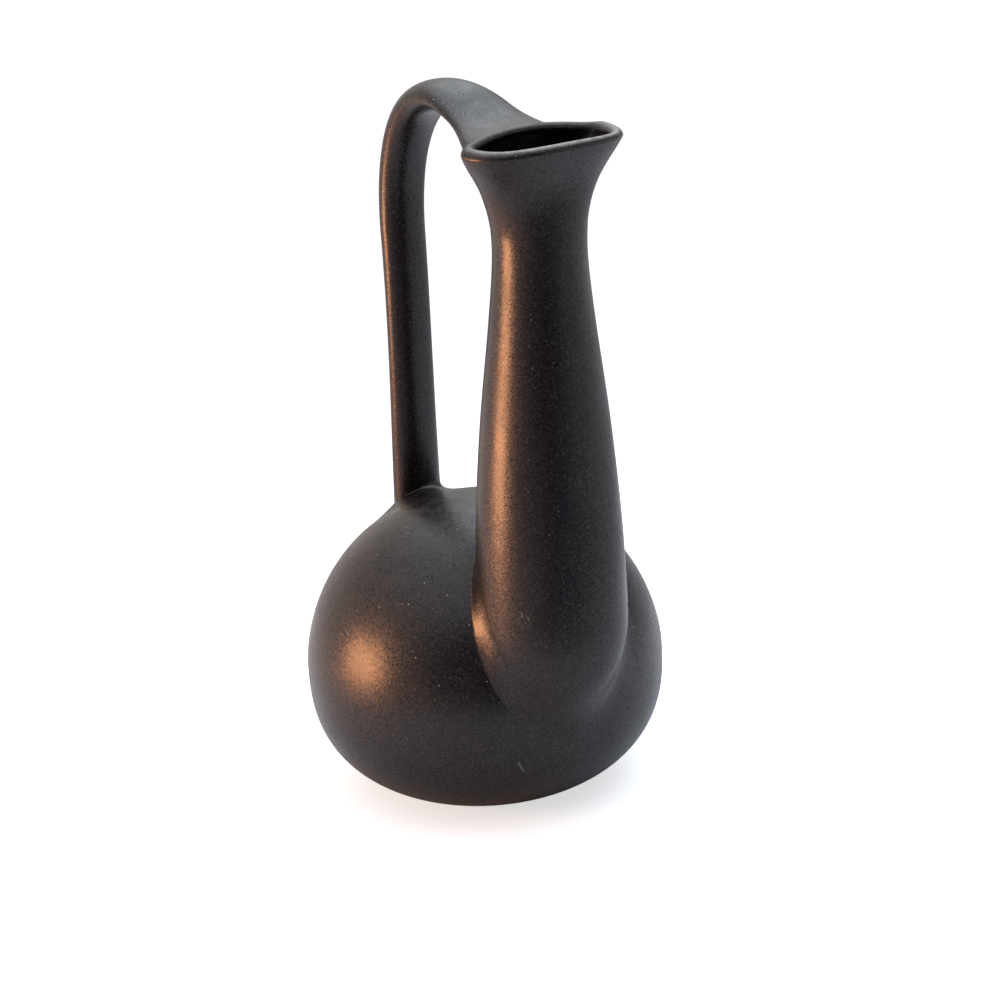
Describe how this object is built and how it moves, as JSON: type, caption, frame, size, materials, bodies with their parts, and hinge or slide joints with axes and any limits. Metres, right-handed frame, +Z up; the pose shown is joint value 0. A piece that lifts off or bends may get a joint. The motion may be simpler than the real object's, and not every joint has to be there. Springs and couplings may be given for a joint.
{
  "type": "ceramic vase",
  "caption": "Tall-necked ewer-shaped vase: squat round belly, tapered neck rising from its front, pinched fishtail mouth and an arched rod handle, in satin bronze-black glaze.",
  "frame": {"origin": "centre of the flat resting face, on the floor plane", "axes": "+Z up; +X toward the neck and the front of the mouth, the handle is at -X; the XZ plane runs through the handle and the middle of the mouth"},
  "size_m": [0.158, 0.1434, 0.282],
  "materials": {
    "bronze_glaze": "satin bronze-black lustre glaze with fine metallic fleck"
  },
  "bodies": {
    "root": {"bowl": "bronze_glaze", "shoulder": "bronze_glaze", "neck": "bronze_glaze", "mouth": "bronze_glaze", "handle": "bronze_glaze", "handle_head": "bronze_glaze", "neck_coil": "bronze_glaze", "handle_foot_coil": "bronze_glaze"}
  },
  "joints": []
}
